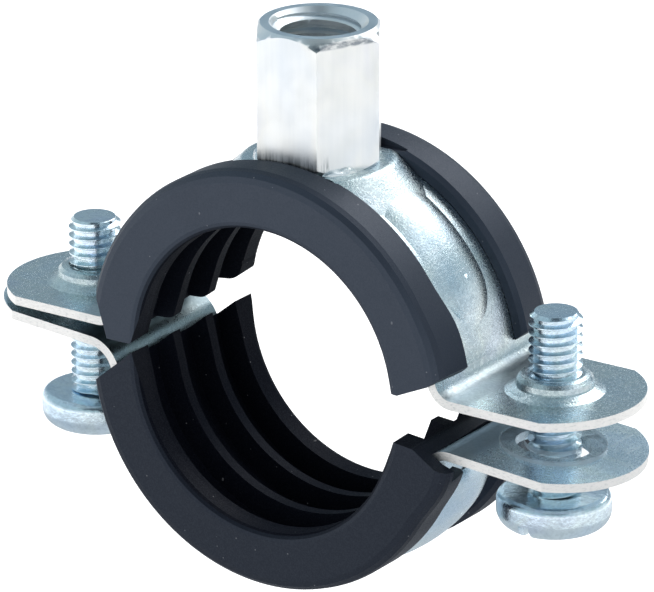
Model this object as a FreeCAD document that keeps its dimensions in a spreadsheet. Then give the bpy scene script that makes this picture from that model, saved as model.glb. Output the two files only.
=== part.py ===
import FreeCAD, Part
import math
import os
from types import SimpleNamespace

import Sketcher
from FreeCAD import Placement, Rotation, Vector

# Rubber lined pipe clamp with a welded rod nut.
#
# X runs from the left ear to the right ear, Y along the pipe (the front is -Y) and Z up, towards
# the rod nut. The origin is the centre of the upper half's seat, halfway along the pipe axis.
# Lengths are millimetres and angles degrees. The lower half is drawn in its own frame, whose
# origin is the centre of its own seat, and hangs open about the left screw.

DRIVING = [
    # pipe seat and rubber liner
    ("seat_radius", 16.5, "radius of the rubber lands that grip the pipe"),
    ("liner_wall", 3.9, "rubber from the seat to the steel band"),
    ("leg_start", 17.4, "angle above the joint below which the lands run straight"),
    ("groove_depth", 2.5, "depth of the grooves between the lands"),
    ("side_wall", 1.9, "rubber beside each edge of the band"),
    ("front_land", 3.1, "width of the front land"),
    ("back_land", 3.0, "width of the back land at its crest"),
    ("land_shoulder", 0.7, "slope of the back land and of the ribs"),
    ("rib_crest", 1.3, "width of a rib at its crest"),
    ("rib_pitch", 6.15, "distance from rib to rib"),
    ("rib_shift", 0.15, "how far the pair of ribs lies behind the middle"),
    ("lip_thickness", 1.5, "rubber over the outside of the band"),
    ("lip_reach", 3.4, "how far each lip reaches in over the band"),
    ("land_round", 0.8, "rounding of the lands' outer corners"),
    ("lip_round", 1.3, "rounding of the lips' outer corners"),
    ("liner_fit", 0.05, "clearance between liner and band"),
    ("channel_span", 188.0, "arc that a liner is drawn over before its ends are cut"),
    # cut ends of the liner, measured from the centre of each seat
    ("right_end", 1.7, "upper liner's right end at the seat"),
    ("right_end_outer", 3.45, "the same end at the band"),
    ("right_lip_end", 4.8, "the same end at the lips"),
    ("left_end", 1.1, "upper liner's left end under the band"),
    ("left_end_outer", 4.35, "the same end at the band"),
    ("left_lip_end", 8.0, "the same end at the lips"),
    ("left_slant", 4.8, "how far the left end is cut out of square, lowest at the front"),
    ("left_round", 1.7, "rounding of the left end's inner corner"),
    ("lower_right_end", 1.0, "lower liner's right end, flat from the seat to the groove floor"),
    ("lower_right_outer", 2.5, "the same end at the band"),
    ("lower_right_wall", 2.85, "the same end at the outside of the side walls"),
    ("lower_right_lip", 4.2, "the lips of that end, under the ear's bend"),
    ("lower_left_end", 0.55, "lower liner's left end at the seat"),
    ("lower_left_outer", 4.75, "the same end at the band"),
    ("lower_left_lip", 6.1, "the same end at the lips"),
    ("end_shelf", 1.1, "flat part of a cut end, outside the seat radius"),
    ("short_shelf", 0.6, "the same at the lower liner's left end"),
    # steel straps
    ("sheet", 1.0, "thickness of the steel strip"),
    ("strap_width", 18.8, "width of the steel strip"),
    ("upper_ear_face", 0.6, "underside of the upper ears above the centre"),
    ("lower_ear_face", 1.15, "top of the lower ears below their own centre"),
    ("bend_radius", 2.0, "inside radius of the bend from band to ear"),
    ("wide_bend_radius", 3.1, "the same bend at the lower strap's left ear"),
    ("ear_land", 1.4, "flat of the upper ear between its bend and the collar"),
    ("upper_ear_tip", 9.6, "upper ear tips from the screw axis"),
    ("lower_ear_tip", 10.1, "lower ear tips from the screw axis"),
    ("ear_tip_ease", 1.3, "how much larger the ear tip's arc is than half the strip"),
    # pressed beads of both straps, and the upper strap's nut seat
    ("bead_width", 8.0, "width of the pressed bead"),
    ("bead_height", 0.8, "height of the pressed bead"),
    ("bead_top", 20.0, "angle from the crown where the bead meets the nut seat"),
    ("bead_foot", 57.0, "angle from the crown where each bead starts to run out"),
    ("lower_bead_width", 11.0, "width of the lower strap's bead"),
    ("lower_bead_height", 1.7, "height of the lower strap's bead"),
    ("seat_rise", 0.5, "height of the nut seat above the band"),
    ("seat_margin", 1.7, "flat of the nut seat beyond the nut's flats"),
    ("seat_room", 0.1, "gap from the nut seat to each lip"),
    ("seat_round", 1.2, "rounding of the nut seat's rim"),
    # rod nut
    ("nut_flats", 13.0, "width across flats"),
    ("nut_height", 15.1, "height of the nut"),
    ("nut_turn", 2.5, "turn of the nut about its axis"),
    ("nut_top_cut", 0.2, "how far the top chamfer reaches in past the flats"),
    ("nut_foot_land", 0.2, "how far outside the flats the foot chamfer starts"),
    ("rod_radius", 5.0, "major radius of the upper thread, M10"),
    ("rod_depth", 8.0, "depth of the upper thread"),
    ("small_rod_radius", 4.0, "major radius of the lower thread, M8"),
    ("nut_countersink", 0.3, "chamfer at the mouth of the nut"),
    ("nut_room", 0.35, "room for the nut between the liner's lips, each side"),
    # clamp screws
    ("screw_radius", 2.9, "crest radius of the screw thread, M6"),
    ("screw_length", 20.3, "screw length under the head"),
    ("screw_point", 0.6, "chamfer at the screw's end"),
    ("head_radius", 6.2, "radius of the screw head"),
    ("head_height", 3.9, "height of the screw head"),
    ("head_bevel", 0.5, "bevel beside the flat under the head"),
    ("head_rim", 0.9, "height of that bevel"),
    ("head_round", 1.9, "rounding of the driven end of the head"),
    ("slot_width", 1.5, "width of the driving slot"),
    ("slot_depth", 1.6, "depth of the driving slot"),
    ("cross_length", 6.6, "length of the cross recess"),
    ("cross_width", 1.7, "width of the cross recess"),
    ("cross_depth", 2.5, "depth of the cross recess"),
    ("left_slack", 9.75, "left screw's head below its ear"),
    ("right_slack", 4.14, "right screw's head below its ear when the clamp hangs open"),
    ("left_screw_turn", 20.0, "turn of the left screw"),
    ("right_screw_turn", 65.0, "turn of the right screw"),
    # what the screws pass through
    ("thread_fit", 0.05, "radial clearance of the screw in its collar"),
    ("collar_wall", 1.85, "wall of the drawn collar"),
    ("collar_height", 1.9, "height of the drawn collar above the ear"),
    ("collar_crown", 1.1, "rounding of the collar's top"),
    ("collar_foot", 0.6, "blend between collar and ear"),
    ("draw_in", 0.6, "rounding under the collar, where the sheet was drawn in"),
    ("slot_play", 0.4, "clearance of the screw in the lower ear, each side"),
    ("slot_travel", 1.8, "how much longer than wide the slot is"),
    # retaining washers
    ("washer_rim", 2.65, "width of the washer's ring"),
    ("washer_thickness", 0.5, "thickness of the washer"),
    ("washer_play", 0.25, "clearance of the screw in the washer, each side"),
    ("washer_edge", 0.12, "chamfer of the washer's edge"),
    # pose of the lower half
    ("ear_gap", 1.1, "gap between the left ears"),
    ("open_angle", 4.0, "how far the lower half hangs open about the left screw"),
]


class Size:
    """A size worked out from the sheet: its number now, and the expression that binds it."""

    def __init__(self, number, text):
        self.number = number
        self.text = text

    def join(self, sign, other, number):
        return Size(number, "(%s %s %s)" % (self.text, sign, written(other)))

    def __add__(self, other):
        return self.join("+", other, self.number + plain(other))

    def __sub__(self, other):
        return self.join("-", other, self.number - plain(other))

    def __mul__(self, other):
        return self.join("*", other, self.number * plain(other))

    def __truediv__(self, other):
        return self.join("/", other, self.number / plain(other))

    def __neg__(self):
        return self * -1


def plain(size):
    return size.number if isinstance(size, Size) else size


def written(size):
    return size.text if isinstance(size, Size) else "(%r)" % size


def root(size):
    return Size(math.sqrt(size.number), "sqrt(%s)" % size.text)


def eased(x, y, radius, quarter, sides=3):
    """Points that ease a square corner at x, y with a few short sides in place of an arc; the
    arc would start at quarter times 90 degrees and run a quarter turn."""
    centre_x = x + radius * (1 if quarter in (1, 2) else -1)
    centre_y = y + radius * (1 if quarter in (2, 3) else -1)
    turns = [math.radians(90 * (quarter + k / sides)) for k in range(sides + 1)]
    return [(centre_x + radius * round(math.cos(a), 6), centre_y + radius * round(math.sin(a), 6))
            for a in turns]


def leg(slope, side):
    """The other short side of a right triangle with this long side and one short side."""
    return root(slope * slope - side * side)


def cosine(angle):
    return Size(math.cos(math.radians(angle.number)), "cos(%s)" % angle.text)


def sine(angle):
    return Size(math.sin(math.radians(angle.number)), "sin(%s)" % angle.text)


doc = FreeCAD.newDocument("PipeClamp")
sheet = doc.addObject("Spreadsheet::Sheet", "Sizes")
for row, (name, value, note) in enumerate(DRIVING, start=1):
    sheet.set("A%d" % row, name)
    sheet.set("B%d" % row, repr(value))
    sheet.setAlias("B%d" % row, name)
    sheet.set("C%d" % row, note)
doc.recompute()
S = SimpleNamespace(**{name: Size(value, "Sizes." + name) for name, value, note in DRIVING})

# sizes that several pieces share
S.band_radius = S.seat_radius + S.liner_wall
S.band_outer = S.band_radius + S.sheet
S.liner_width = S.strap_width + S.side_wall * 2
S.lip_opening = S.strap_width - S.lip_reach * 2
S.lip_radius = S.band_outer + S.liner_fit + S.lip_thickness
S.wall_slot = S.strap_width / 2 + S.liner_fit
S.upper_ear_top = S.upper_ear_face + S.sheet
S.seat_top = S.band_outer + S.seat_rise
S.seat_flat = S.nut_flats / 2 + S.seat_margin
S.seat_side = S.lip_opening - S.seat_room * 2
S.nut_top = S.seat_top + S.nut_height
S.thread_hole = S.screw_radius + S.thread_fit
S.collar_radius = S.thread_hole + S.collar_wall
S.screw_offset = S.band_outer + S.bend_radius + S.ear_land + S.collar_foot + S.collar_radius
S.upper_ear_reach = S.screw_offset + S.upper_ear_tip
S.lower_ear_reach = S.screw_offset + S.lower_ear_tip
S.ear_tip_radius = S.strap_width / 2 + S.ear_tip_ease
S.slot_half = S.screw_radius + S.slot_play
S.washer_hole = S.screw_radius + S.washer_play
S.lower_ear_underside = S.upper_ear_face - S.ear_gap - S.sheet
S.clear = S.lower_ear_reach * 2


# ---------------------------------------------------------------- features and sketches

def bind(feature, name, size):
    if isinstance(size, Size):
        feature.setExpression(name, size.text)
    else:
        setattr(feature, name, size)


def new_body(name):
    body = doc.addObject("PartDesign::Body", name)
    body.Label = name
    return body


def new_sketch(body, name, role, turn=None, lift=None, along=None):
    """A sketch on an origin plane of its body: turned about its own X axis, lifted off the plane
    or moved along its own X axis."""
    sketch = body.newObject("Sketcher::SketchObject", name)
    plane = [item for item in body.Origin.OriginFeatures if item.Role == role][0]
    sketch.AttachmentSupport = [(plane, "")]
    sketch.MapMode = "FlatFace"
    if turn is not None:
        sketch.AttachmentOffset = Placement(Vector(), Rotation(Vector(1, 0, 0), plain(turn)))
        if isinstance(turn, Size):
            bind(sketch, "AttachmentOffset.Rotation.Angle", turn)
    if lift is not None:
        sketch.AttachmentOffset = Placement(Vector(0, 0, plain(lift)), Rotation())
        bind(sketch, "AttachmentOffset.Base.z", lift)
    if along is not None:
        sketch.AttachmentOffset = Placement(Vector(plain(along), 0, 0), Rotation())
        bind(sketch, "AttachmentOffset.Base.x", along)
    return sketch


def measure(sketch, kind, elements, size):
    """A dimension of the sketch, bound to the sheet when it is worked out from it."""
    index = sketch.addConstraint(Sketcher.Constraint(kind, *elements, plain(size)))
    if isinstance(size, Size):
        sketch.setExpression("Constraints[%d]" % index, size.text)


def place(sketch, element, end, x, y):
    """Fixes a point of an element at x, y; a zero puts it on the axis."""
    for kind, axis, value in (("DistanceX", -2, x), ("DistanceY", -1, y)):
        if abs(plain(value)) < 1e-9:
            sketch.addConstraint(Sketcher.Constraint("PointOnObject", element, end, axis))
        else:
            measure(sketch, kind, (-1, 1, element, end), value)


def draw_line(sketch, start, end):
    first = Vector(plain(start[0]), plain(start[1]), 0)
    last = Vector(plain(end[0]), plain(end[1]), 0)
    return sketch.addGeometry(Part.LineSegment(first, last))


def draw_circle(sketch, x, y, radius):
    centre = Vector(plain(x), plain(y), 0)
    index = sketch.addGeometry(Part.Circle(centre, Vector(0, 0, 1), plain(radius)))
    place(sketch, index, 3, x, y)
    measure(sketch, "Radius", (index,), radius)


def draw_arc(sketch, centre, radius, start, end):
    """A counter-clockwise arc; start and end are its two ends, given as numbers."""
    angles = [math.atan2(y - centre[1], x - centre[0]) for x, y in (start, end)]
    circle = Part.Circle(Vector(centre[0], centre[1], 0), Vector(0, 0, 1), radius)
    return sketch.addGeometry(Part.ArcOfCircle(circle, angles[0], angles[1]))


def join(sketch, pairs):
    for first, first_end, second, second_end in pairs:
        sketch.addConstraint(Sketcher.Constraint("Coincident", first, first_end, second, second_end))


def draw_outline(sketch, corners):
    """A closed outline of straight sides; a corner's third entry rounds it to that radius."""
    points = [Vector(plain(c[0]), plain(c[1]), 0) for c in corners]
    count = len(points)
    cuts = []
    for i, corner in enumerate(corners):
        if len(corner) == 2:
            cuts.append((points[i], points[i], None))
            continue
        back = (points[i - 1] - points[i]).normalize()
        ahead = (points[(i + 1) % count] - points[i]).normalize()
        half = back.getAngle(ahead) / 2
        reach = plain(corner[2]) / math.tan(half)
        middle = (back + ahead).normalize() * (plain(corner[2]) / math.sin(half))
        cuts.append((points[i] + back * reach, points[i] + ahead * reach, points[i] + middle))
    sides = [sketch.addGeometry(Part.LineSegment(cuts[i][1], cuts[(i + 1) % count][0]))
             for i in range(count)]
    for i, corner in enumerate(corners):
        before, after = sides[i - 1], sides[i]
        if len(corner) == 2:
            join(sketch, [(before, 2, after, 1)])
            place(sketch, after, 1, corner[0], corner[1])
            continue
        start, end, centre = cuts[i]
        left_turn = (points[i] - start).cross(end - points[i]).z > 0
        first, last = (start, end) if left_turn else (end, start)
        arc = draw_arc(sketch, centre, plain(corner[2]), (first.x, first.y), (last.x, last.y))
        arc_start, arc_end = (1, 2) if left_turn else (2, 1)
        tip = sketch.addGeometry(Part.Point(points[i]), True)
        sketch.addConstraint(Sketcher.Constraint("Tangent", before, 2, arc, arc_start))
        sketch.addConstraint(Sketcher.Constraint("Tangent", arc, arc_end, after, 1))
        sketch.addConstraint(Sketcher.Constraint("PointOnObject", tip, 1, before))
        sketch.addConstraint(Sketcher.Constraint("PointOnObject", tip, 1, after))
        place(sketch, tip, 1, corner[0], corner[1])
        measure(sketch, "Radius", (arc,), corner[2])


def draw_slot(sketch, x, half_width, travel):
    """A slot along X, centred at x, with round ends."""
    r, shift, middle = plain(half_width), plain(travel) / 2, plain(x)
    right = draw_arc(sketch, (middle + shift, 0), r, (middle + shift, -r), (middle + shift, r))
    left = draw_arc(sketch, (middle - shift, 0), r, (middle - shift, r), (middle - shift, -r))
    top = draw_line(sketch, (middle + shift, r), (middle - shift, r))
    bottom = draw_line(sketch, (middle - shift, -r), (middle + shift, -r))
    for first, first_end, second, second_end in ((right, 2, top, 1), (top, 2, left, 1),
                                                 (left, 2, bottom, 1), (bottom, 2, right, 1)):
        sketch.addConstraint(Sketcher.Constraint("Tangent", first, first_end, second, second_end))
    measure(sketch, "Radius", (right,), half_width)
    place(sketch, right, 3, x + travel / 2, 0)
    place(sketch, left, 3, x - travel / 2, 0)


def pad(body, sketch, name, length, both=False, flip=False):
    feature = body.newObject("PartDesign::Pad", name)
    feature.Profile = sketch
    bind(feature, "Length", length)
    feature.SideType = "Symmetric" if both else "One side"
    feature.Reversed = flip
    return feature


def pocket(body, sketch, name, length=None, flip=False):
    """A cut of this depth, or right through both ways when no depth is given."""
    feature = body.newObject("PartDesign::Pocket", name)
    feature.Profile = sketch
    if length is None:
        feature.SideType = "Symmetric"
        bind(feature, "Length", S.clear * 2)
    else:
        bind(feature, "Length", length)
        feature.Reversed = flip
    return feature


def turned(body, sketch, name, axis, angle=None, cut=False):
    """A revolution, or a groove, about an axis of its sketch; a part turn lies both ways."""
    feature = body.newObject("PartDesign::Groove" if cut else "PartDesign::Revolution", name)
    feature.Profile = sketch
    feature.ReferenceAxis = (sketch, [axis])
    bind(feature, "Angle", 360 if angle is None else angle)
    feature.Midplane = angle is not None
    return feature


def dress(body, kind, name, size, test):
    """A fillet or chamfer on the edges of the body so far that pass the test."""
    doc.recompute()
    base = body.Tip
    names = ["Edge%d" % (i + 1) for i, edge in enumerate(base.Shape.Edges)
             if not edge.Degenerated and test(edge)]
    if not names:
        raise ValueError("no edge for " + name)
    feature = body.newObject("PartDesign::" + kind, name)
    feature.Base = (base, names)
    bind(feature, "Radius" if kind == "Fillet" else "Size", size)
    return feature


def circle_at(edge, x, radius, z):
    """True for an edge that lies on this level circle about the vertical line x, 0."""
    if not isinstance(edge.Curve, Part.Circle):
        return False
    same_place = (edge.Curve.Center - Vector(plain(x), 0, plain(z))).Length < 1e-4
    return same_place and abs(edge.Curve.Radius - plain(radius)) < 1e-4


def level_line_at(edge, x, z):
    """True for a straight edge along Y at this x and z."""
    if not isinstance(edge.Curve, (Part.Line, Part.LineSegment)):
        return False
    if abs(edge.Curve.Direction.y) < 0.999:
        return False
    middle = edge.CenterOfMass
    return abs(middle.x - plain(x)) < 1e-4 and abs(middle.z - plain(z)) < 1e-4


# ---------------------------------------------------------------- rod nut

def connecting_nut():
    body = new_body("connecting_nut")
    corner_radius = S.nut_flats / math.sqrt(3)
    top_land = S.nut_flats / 2 - S.nut_top_cut
    foot_land = S.nut_flats / 2 + S.nut_foot_land
    hexagon = new_sketch(body, "nut_hexagon", "XY_Plane", lift=S.seat_top)
    draw_outline(hexagon, [(corner_radius * math.cos(math.radians(60 * k)),
                            corner_radius * math.sin(math.radians(60 * k))) for k in range(6)])
    pad(body, hexagon, "nut_block", S.nut_top - S.seat_top)

    outside = corner_radius + 1
    top_chamfer = new_sketch(body, "nut_top_chamfer_profile", "XZ_Plane")
    draw_outline(top_chamfer, [(top_land, S.nut_top),
                               (outside, S.nut_top - (outside - top_land)),
                               (outside, S.nut_top)])
    turned(body, top_chamfer, "nut_top_chamfer", "V_Axis", cut=True)

    foot_chamfer = new_sketch(body, "nut_foot_chamfer_profile", "XZ_Plane")
    draw_outline(foot_chamfer, [(foot_land, S.seat_top),
                                (outside, S.seat_top),
                                (outside, S.seat_top + (outside - foot_land))])
    turned(body, foot_chamfer, "nut_foot_chamfer", "V_Axis", cut=True)

    shoulder = S.nut_top - S.rod_depth
    step = S.rod_radius - S.small_rod_radius
    bore = new_sketch(body, "nut_bore_profile", "XZ_Plane")
    draw_outline(bore, [(0, S.seat_top),
                        (S.small_rod_radius, S.seat_top),
                        (S.small_rod_radius, shoulder - step),
                        (S.rod_radius, shoulder),
                        (S.rod_radius, S.nut_top - S.nut_countersink),
                        (S.rod_radius + S.nut_countersink, S.nut_top),
                        (0, S.nut_top)])
    turned(body, bore, "nut_bore", "V_Axis", cut=True)
    body.Placement = Placement(Vector(), Rotation(Vector(0, 0, 1), S.nut_turn.number))
    bind(body, "Placement.Rotation.Angle", S.nut_turn)
    return body


# ---------------------------------------------------------------- steel straps

def bead_arch(width, height):
    """Radius of the arc that is this wide and this high."""
    return (width * width / 4 + height * height) / (height * 2)


def draw_bead(sketch, crest, arch, root_level, half=False):
    """The bead's arched section in a plane through the pipe axis, on a chord at root_level."""
    centre = crest - arch
    reach = leg(arch, root_level - centre)
    left = (0.0, plain(crest)) if half else (-plain(reach), plain(root_level))
    right = (plain(reach), plain(root_level))
    arc = draw_arc(sketch, (0.0, plain(centre)), plain(arch), right, left)
    sketch.addConstraint(Sketcher.Constraint("PointOnObject", arc, 3, -2))
    measure(sketch, "DistanceY", (-1, 1, arc, 3), centre)
    measure(sketch, "Radius", (arc,), arch)
    chord = draw_line(sketch, (0.0, plain(root_level)) if half else left, right)
    join(sketch, [(chord, 2, arc, 1)])
    sketch.addConstraint(Sketcher.Constraint("Horizontal", chord))
    measure(sketch, "DistanceY", (-1, 1, chord, 1), root_level)
    if half:
        side = draw_line(sketch, (0.0, plain(crest)), (0.0, plain(root_level)))
        join(sketch, [(arc, 2, side, 1), (side, 2, chord, 1)])
        sketch.addConstraint(Sketcher.Constraint("PointOnObject", side, 1, -2))
        sketch.addConstraint(Sketcher.Constraint("PointOnObject", side, 2, -2))
    else:
        join(sketch, [(chord, 1, arc, 2)])


def press_bead(body, name, start, foot, width, height, depth, cut):
    """A long bead from one angle from the crown to another, with a round run-out at its foot."""
    arch = bead_arch(width, height)
    crest = S.band_outer + height - depth
    root_level = S.band_outer - S.sheet * 0.75 - depth
    along = new_sketch(body, name + "_arch", "YZ_Plane", turn=(start + foot) / 2)
    draw_bead(along, crest, arch, root_level)
    span = foot - start if foot.number > start.number else start - foot
    turned(body, along, name, "H_Axis", span, cut=cut)
    end = new_sketch(body, name + "_end_arch", "YZ_Plane", turn=foot)
    draw_bead(end, crest, arch, root_level, half=True)
    turned(body, end, name + "_run_out", "V_Axis", cut=cut)


def press_nut_seat(body, name):
    """The flat topped cone pressed up under the nut."""
    low = S.band_radius * 0.7
    run = S.seat_top - low
    cone = new_sketch(body, name + "_profile", "XZ_Plane")
    draw_outline(cone, [(0, low), (S.seat_flat + run, low), (S.seat_flat, S.seat_top),
                        (0, S.seat_top)])
    turned(body, cone, name, "V_Axis")


def trim_nut_seat(body, name, side):
    """Clears what the cone leaves on the plain edge of the band, where the liner's lip lies."""
    lift = (S.seat_side / 2) * -side
    sketch = new_sketch(body, name + "_profile", "XZ_Plane", lift=lift)
    reach = S.band_outer * 0.8
    rise = leg(S.band_outer, reach)
    above = S.seat_top + 1
    ends = ((plain(reach), plain(rise)), (-plain(reach), plain(rise)))
    arc = draw_arc(sketch, (0.0, 0.0), plain(S.band_outer), *ends)
    left = draw_line(sketch, ends[1], (-plain(reach), plain(above)))
    top = draw_line(sketch, (-plain(reach), plain(above)), (plain(reach), plain(above)))
    right = draw_line(sketch, (plain(reach), plain(above)), ends[0])
    join(sketch, [(arc, 2, left, 1), (left, 2, top, 1), (top, 2, right, 1), (right, 2, arc, 1),
                  (arc, 3, -1, 1)])
    for line, kind in ((left, "Vertical"), (right, "Vertical"), (top, "Horizontal")):
        sketch.addConstraint(Sketcher.Constraint(kind, line))
    measure(sketch, "Radius", (arc,), S.band_outer)
    measure(sketch, "DistanceX", (-1, 1, arc, 1), reach)
    measure(sketch, "DistanceX", (-1, 1, arc, 2), -reach)
    measure(sketch, "DistanceY", (-1, 1, top, 1), above)
    pocket(body, sketch, name, S.strap_width, flip=side < 0)


def trim_strip_edge(body, name, side):
    """Cuts the cone off where it stands past the edge of the strip."""
    lift = (S.strap_width / 2) * -side
    sketch = new_sketch(body, name + "_profile", "XZ_Plane", lift=lift)
    low, high = S.band_radius * 0.5, S.seat_top + 1
    draw_outline(sketch, [(-S.band_outer, low), (S.band_outer, low), (S.band_outer, high),
                          (-S.band_outer, high)])
    pocket(body, sketch, name, S.strap_width, flip=side < 0)


def band_blank(body, name):
    """The band before bending, as a solid disc."""
    disc = new_sketch(body, name + "_disc_profile", "XZ_Plane")
    draw_circle(disc, 0, 0, S.band_outer)
    pad(body, disc, name + "_disc", S.strap_width, both=True)


def cut_band(body, name, up, ear_face):
    """Keeps the half of the disc beyond the joint, and opens it to the band's inside radius."""
    half = new_sketch(body, name + "_half_profile", "XZ_Plane")
    outside = S.band_outer + 1
    draw_outline(half, [(-outside, ear_face * up), (outside, ear_face * up),
                        (outside, -outside * up), (-outside, -outside * up)])
    pocket(body, half, name + "_half")
    bore = new_sketch(body, name + "_bore_profile", "XZ_Plane")
    draw_circle(bore, 0, 0, S.band_radius)
    pocket(body, bore, name + "_bore")


def add_ears(body, name, up, ear_face, reach, bends):
    """The two ears, with the bend from band to ear; bends holds the inside radius by side."""
    inner = leg(S.band_radius, ear_face)
    far_face = ear_face + S.sheet
    for side, radius in bends:
        word = "right" if side > 0 else "left"
        ear = new_sketch(body, "%s_%s_ear_profile" % (name, word), "XZ_Plane")
        draw_outline(ear, [(inner * side, ear_face * up), (reach * side, ear_face * up),
                           (reach * side, far_face * up), (inner * side, far_face * up)])
        pad(body, ear, "%s_%s_ear" % (name, word), S.strap_width, both=True)
        outer = leg(S.band_outer, far_face)
        dress(body, "Fillet", "%s_%s_bend" % (name, word), radius,
              lambda edge: level_line_at(edge, outer * side, far_face * up))
        dress(body, "Fillet", "%s_%s_bend_back" % (name, word), radius + S.sheet,
              lambda edge: level_line_at(edge, inner * side, ear_face * up))


def round_ears(body, name, ear_reach):
    """Cuts each ear to its round tip."""
    margin = S.strap_width / 2 + 1
    centre = ear_reach - S.ear_tip_radius
    reach = leg(S.ear_tip_radius, margin)
    beyond = ear_reach + 1
    for side, word in ((1, "right"), (-1, "left")):
        sketch = new_sketch(body, "%s_%s_tip_profile" % (name, word), "XY_Plane")
        start, end = plain((centre + reach) * side), plain(margin)
        ends = [(start, -end), (start, end)] if side > 0 else [(start, end), (start, -end)]
        arc = draw_arc(sketch, (plain(centre) * side, 0.0), plain(S.ear_tip_radius), *ends)
        far = plain(beyond) * side
        first = draw_line(sketch, ends[1], (far, ends[1][1]))
        last = draw_line(sketch, (far, ends[1][1]), (far, ends[0][1]))
        back = draw_line(sketch, (far, ends[0][1]), ends[0])
        join(sketch, [(arc, 2, first, 1), (first, 2, last, 1), (last, 2, back, 1),
                      (back, 2, arc, 1)])
        for line, kind in ((first, "Horizontal"), (last, "Vertical"), (back, "Horizontal")):
            sketch.addConstraint(Sketcher.Constraint(kind, line))
        place(sketch, arc, 3, centre * side, 0)
        measure(sketch, "Radius", (arc,), S.ear_tip_radius)
        measure(sketch, "DistanceY", (-1, 1, arc, 2), margin * side)
        measure(sketch, "DistanceY", (-1, 1, arc, 1), margin * -side)
        measure(sketch, "DistanceX", (-1, 1, last, 1), beyond * side)
        pocket(body, sketch, "%s_%s_tip" % (name, word))


def draw_collar(body, side, word):
    """A collar drawn up out of the ear, with the hole that takes the screw's thread."""
    x = S.screw_offset * side
    top = S.upper_ear_top + S.collar_height
    skirt = S.collar_radius + S.collar_foot
    foot = eased(S.collar_radius, S.upper_ear_top, S.collar_foot, 2, sides=2)
    crown = eased(S.collar_radius, top, S.collar_crown, 0)
    collar = new_sketch(body, word + "_collar_profile", "XZ_Plane", along=x)
    draw_outline(collar, [(0, S.upper_ear_face), (skirt, S.upper_ear_face)] + foot[::-1] + crown
                 + [(0, top)])
    turned(body, collar, word + "_collar", "V_Axis")
    hole = new_sketch(body, word + "_hole_profile", "XY_Plane")
    draw_circle(hole, x, 0, S.thread_hole)
    pocket(body, hole, word + "_hole", top + 1, flip=True)
    drawn = eased(S.thread_hole, S.upper_ear_face, S.draw_in, 2, sides=2)
    mouth = new_sketch(body, word + "_draw_in_profile", "XZ_Plane", along=x)
    draw_outline(mouth, [(0, S.upper_ear_face)] + drawn[::-1] + [(0, S.upper_ear_face + S.draw_in)])
    turned(body, mouth, word + "_draw_in", "V_Axis", cut=True)


def upper_strap():
    body = new_body("upper_strap")
    name = "upper_band"
    band_blank(body, name)
    press_nut_seat(body, "nut_seat")
    dress(body, "Fillet", "nut_seat_rim", S.seat_round,
          lambda edge: circle_at(edge, 0, S.seat_flat, S.seat_top))
    for side, word in ((1, "back"), (-1, "front")):
        trim_nut_seat(body, "nut_seat_%s_trim" % word, side)
        trim_strip_edge(body, "strip_%s_trim" % word, side)
    for side, word in ((1, "right"), (-1, "left")):
        press_bead(body, word + "_bead", S.bead_top * side, S.bead_foot * side, S.bead_width,
                   S.bead_height, depth=0, cut=False)
    cut_band(body, name, 1, S.upper_ear_face)
    for side, word in ((1, "right"), (-1, "left")):
        press_bead(body, word + "_bead_hollow", S.bead_top * side, S.bead_foot * side,
                   S.bead_width, S.bead_height, depth=S.sheet, cut=True)
    add_ears(body, name, 1, S.upper_ear_face, S.upper_ear_reach,
             ((1, S.bend_radius), (-1, S.bend_radius)))
    round_ears(body, name, S.upper_ear_reach)
    for side, word in ((1, "right"), (-1, "left")):
        draw_collar(body, side, word)
    return body


def lower_strap():
    body = new_body("lower_strap")
    name = "lower_band"
    band_blank(body, name)
    bottom = Size(180, "180")
    feet = (("left_bead", bottom - S.bead_foot), ("right_bead", bottom + S.bead_foot))
    for bead, foot in feet:
        press_bead(body, bead, bottom, foot, S.lower_bead_width, S.lower_bead_height, depth=0,
                   cut=False)
    cut_band(body, name, -1, S.lower_ear_face)
    for bead, foot in feet:
        press_bead(body, bead + "_hollow", bottom, foot, S.lower_bead_width,
                   S.lower_bead_height, depth=S.sheet, cut=True)
    add_ears(body, name, -1, S.lower_ear_face, S.lower_ear_reach,
             ((1, S.bend_radius), (-1, S.wide_bend_radius)))
    round_ears(body, name, S.lower_ear_reach)
    for side, word in ((1, "right"), (-1, "left")):
        slot = new_sketch(body, word + "_slot_profile", "XY_Plane")
        draw_slot(slot, S.screw_offset * side, S.slot_half, S.slot_travel)
        pocket(body, slot, word + "_slot")
    return hang_open(body)


# ---------------------------------------------------------------- rubber liners

def liner_section():
    """The channel's section along the pipe: lands and ribs inside, lips hooked over the band."""
    half = S.liner_width / 2
    floor = S.seat_radius + S.groove_depth
    seat = S.seat_radius
    inside = S.band_radius - S.liner_fit
    outside = S.band_outer + S.liner_fit
    lip = S.lip_opening / 2
    corners = eased(-half, seat, S.land_round, 2)
    corners += [(S.front_land - half, seat),
                (S.front_land - half, floor)]
    for step in (-0.5, 0.5):
        crest_front = S.rib_shift + S.rib_pitch * step - S.rib_crest / 2
        crest_back = crest_front + S.rib_crest
        corners += [(crest_front - S.land_shoulder / 2, floor), (crest_front, seat),
                    (crest_back, seat), (crest_back, floor)]
    corners += [(half - S.back_land - S.land_shoulder, floor),
                (half - S.back_land, seat)]
    corners += eased(half, seat, S.land_round, 3)
    corners += eased(half, S.lip_radius, S.lip_round, 0)
    corners += eased(lip, S.lip_radius, S.lip_thickness / 3, 1, sides=1)
    corners += [(lip, outside),
                (S.wall_slot, outside),
                (S.wall_slot, inside),
                (-S.wall_slot, inside),
                (-S.wall_slot, outside),
                (-lip, outside)]
    corners += eased(-lip, S.lip_radius, S.lip_thickness / 3, 0, sides=1)
    corners += eased(-half, S.lip_radius, S.lip_round, 1)
    return corners


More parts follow.
